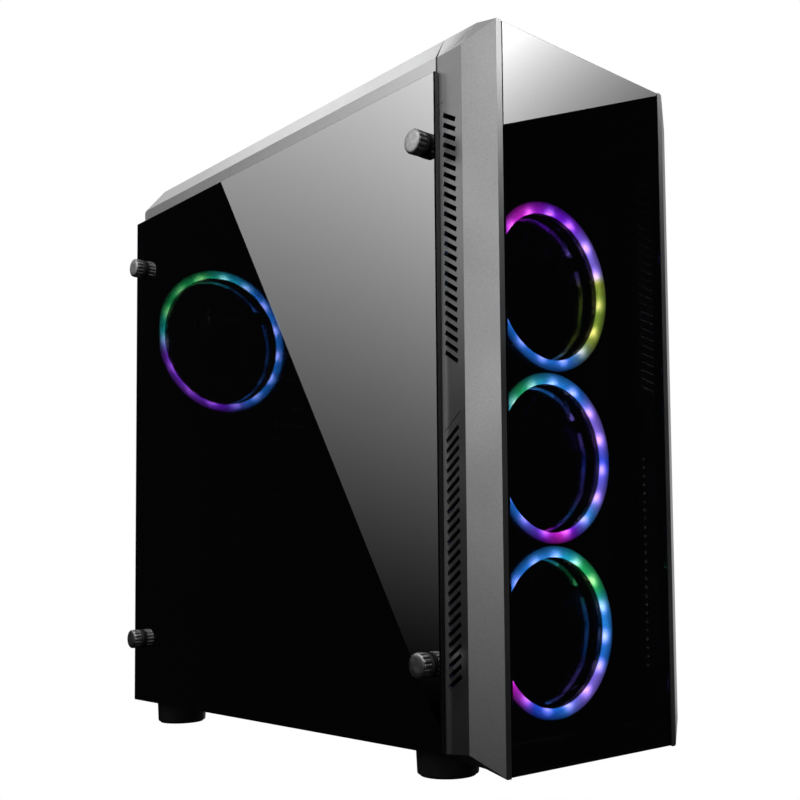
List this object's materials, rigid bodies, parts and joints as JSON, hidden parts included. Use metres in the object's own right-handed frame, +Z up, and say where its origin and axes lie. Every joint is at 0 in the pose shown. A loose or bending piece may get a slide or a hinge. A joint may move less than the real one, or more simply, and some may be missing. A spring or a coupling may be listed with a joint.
{
  "type": "desktop computer tower",
  "caption": "Desktop computer tower with smoked glass side and front panels, lit fans behind the front and at the rear, round feet and top controls.",
  "frame": {"origin": "middle of the footprint's bounding box, on the surface the tower stands on", "axes": "+Z up, -Y out of the front glass, -X out of the side glass"},
  "size_m": [0.2158, 0.463, 0.48],
  "materials": {
    "black_steel": "satin black powder coat",
    "silver_plastic": "satin dark silver metallic paint on moulded plastic",
    "dark_glass": "smoked tempered glass, polished",
    "front_black_glass": "dark tempered glass, polished",
    "knurled_steel": "dark nickel, satin",
    "black_rubber": "matte",
    "black_plastic": "fine texture",
    "gloss_black_plastic": "gloss",
    "screw_black": "black zinc",
    "light_diffuser": "frosted, lit from behind",
    "filter_mesh": "woven nylon mesh",
    "black_board": "black solder mask",
    "bright_steel": "zinc plated",
    "grey_steel": "black powder coat",
    "drive_metal": "cast and machined",
    "heatsink": "as extruded",
    "brass_thread": "machined"
  },
  "bodies": {
    "side_glass": {"side_glass": "dark_glass", "thumbscrew_washers": "black_rubber"},
    "right_side_panel": {"right_side_panel": "black_steel"},
    "right_thumbscrew_upper": {"right_thumbscrew_upper": "screw_black"},
    "right_thumbscrew_lower": {"right_thumbscrew_lower": "screw_black"},
    "front_panel": {"front_bezel": "silver_plastic", "front_glass": "front_black_glass"},
    "top_filter": {"top_filter": "filter_mesh"},
    "psu_filter": {"psu_filter": "filter_mesh"},
    "power_button": {"power_button": "gloss_black_plastic"},
    "reset_button": {"reset_button": "gloss_black_plastic"},
    "light_button": {"light_button": "gloss_black_plastic"},
    "rear_fan_rotor": {"rear_fan_rotor": "gloss_black_plastic"},
    "psu_fan_rotor": {"psu_fan_rotor": "gloss_black_plastic"},
    "cpu_fan_rotor": {"cpu_fan_rotor": "gloss_black_plastic"},
    "psu_switch": {"psu_switch": "gloss_black_plastic"},
    "thumbscrew_front_top": {"thumbscrew_front_top": "knurled_steel"},
    "thumbscrew_front_bottom": {"thumbscrew_front_bottom": "knurled_steel"},
    "thumbscrew_rear_top": {"thumbscrew_rear_top": "knurled_steel"},
    "thumbscrew_rear_bottom": {"thumbscrew_rear_bottom": "knurled_steel"},
    "front_fan_rotor_top": {"front_fan_rotor_top": "gloss_black_plastic"},
    "front_fan_rotor_middle": {"front_fan_rotor_middle": "gloss_black_plastic"},
    "front_fan_rotor_bottom": {"front_fan_rotor_bottom": "gloss_black_plastic"},
    "chassis": {"chassis_floor": "black_steel", "chassis_roof": "black_steel", "rear_panel": "black_steel", "chassis_front": "black_steel", "motherboard_tray": "black_steel", "side_frame": "black_steel", "psu_shroud": "black_steel", "slot_covers": "black_steel", "slot_cover_screws": "screw_black", "io_shield": "bright_steel", "glass_pads": "black_rubber", "glass_standoffs": "brass_thread", "top_cover": "silver_plastic", "front_io_board": "black_board", "front_io_sockets": "bright_steel", "fan_screws": "screw_black", "rear_fan_frame": "black_plastic", "rear_light_ring": "light_diffuser", "psu_casing": "grey_steel", "psu_fan_frame": "black_plastic", "psu_inlet": "gloss_black_plastic", "drive_cage": "grey_steel", "hard_drive": "drive_metal", "motherboard": "black_board", "board_ports": "bright_steel", "board_standoffs": "brass_thread", "memory_modules": "black_board", "cpu_cooler": "heatsink", "cpu_fan_frame": "black_plastic", "feet": "black_plastic", "foot_pads": "black_rubber", "front_fan_frame_top": "black_plastic", "front_light_ring_top": "light_diffuser", "front_fan_frame_middle": "black_plastic", "front_light_ring_middle": "light_diffuser", "front_fan_frame_bottom": "black_plastic", "front_light_ring_bottom": "light_diffuser"}
  },
  "joints": [
    {"name": "side_glass_lift_off", "type": "slide", "parent": "chassis", "child": "side_glass", "axis": [-1, 0, 0], "range_m": [0, 0.25]},
    {"name": "thumbscrew_front_top_unscrew", "type": "slide", "parent": "side_glass", "child": "thumbscrew_front_top", "axis": [-1, 0, 0], "range_m": [0, 0.014]},
    {"name": "thumbscrew_front_bottom_unscrew", "type": "slide", "parent": "side_glass", "child": "thumbscrew_front_bottom", "axis": [-1, 0, 0], "range_m": [0, 0.014]},
    {"name": "thumbscrew_rear_top_unscrew", "type": "slide", "parent": "side_glass", "child": "thumbscrew_rear_top", "axis": [-1, 0, 0], "range_m": [0, 0.014]},
    {"name": "thumbscrew_rear_bottom_unscrew", "type": "slide", "parent": "side_glass", "child": "thumbscrew_rear_bottom", "axis": [-1, 0, 0], "range_m": [0, 0.014]},
    {"name": "right_panel_slide", "type": "slide", "parent": "chassis", "child": "right_side_panel", "axis": [0, 1, 0], "range_m": [0, 0.43]},
    {"name": "right_thumbscrew_upper_unscrew", "type": "slide", "parent": "right_side_panel", "child": "right_thumbscrew_upper", "axis": [0, 1, 0], "range_m": [0, 0.009]},
    {"name": "right_thumbscrew_lower_unscrew", "type": "slide", "parent": "right_side_panel", "child": "right_thumbscrew_lower", "axis": [0, 1, 0], "range_m": [0, 0.009]},
    {"name": "front_panel_pull", "type": "slide", "parent": "chassis", "child": "front_panel", "axis": [0, -1, 0], "range_m": [0, 0.08]},
    {"name": "top_filter_lift", "type": "slide", "parent": "chassis", "child": "top_filter", "axis": [0, 0, 1], "range_m": [0, 0.06]},
    {"name": "psu_filter_slide", "type": "slide", "parent": "chassis", "child": "psu_filter", "axis": [0, 1, 0], "range_m": [0, 0.17]},
    {"name": "power_button_press", "type": "slide", "parent": "chassis", "child": "power_button", "axis": [0, 0, -1], "range_m": [0, 0.0012], "stiffness_N_per_m": 600},
    {"name": "reset_button_press", "type": "slide", "parent": "chassis", "child": "reset_button", "axis": [0, 0, -1], "range_m": [0, 0.0012], "stiffness_N_per_m": 400},
    {"name": "light_button_press", "type": "slide", "parent": "chassis", "child": "light_button", "axis": [0, 0, -1], "range_m": [0, 0.0012], "stiffness_N_per_m": 400},
    {"name": "front_fan_spin_top", "type": "hinge", "parent": "chassis", "child": "front_fan_rotor_top", "pos_m": [0.00385, -0.18655, 0.3291], "axis": [0, 1, 0], "continuous": true},
    {"name": "front_fan_spin_middle", "type": "hinge", "parent": "chassis", "child": "front_fan_rotor_middle", "pos_m": [0.00385, -0.18655, 0.2091], "axis": [0, 1, 0], "continuous": true},
    {"name": "front_fan_spin_bottom", "type": "hinge", "parent": "chassis", "child": "front_fan_rotor_bottom", "pos_m": [0.00385, -0.18655, 0.0891], "axis": [0, 1, 0], "continuous": true},
    {"name": "rear_fan_spin", "type": "hinge", "parent": "chassis", "child": "rear_fan_rotor", "pos_m": [-0.02145, 0.20845, 0.3499], "axis": [0, 1, 0], "continuous": true},
    {"name": "psu_fan_spin", "type": "hinge", "parent": "chassis", "child": "psu_fan_rotor", "pos_m": [0.00385, 0.14345, 0.035], "axis": [0, 0, 1], "continuous": true},
    {"name": "cpu_fan_spin", "type": "hinge", "parent": "chassis", "child": "cpu_fan_rotor", "pos_m": [0.04385, 0.09845, 0.35], "axis": [1, 0, 0], "continuous": true},
    {"name": "psu_switch_rock", "type": "hinge", "parent": "chassis", "child": "psu_switch", "pos_m": [0.05385, 0.22185, 0.072], "axis": [0, 0, -1], "range_deg": [0, 16]}
  ]
}
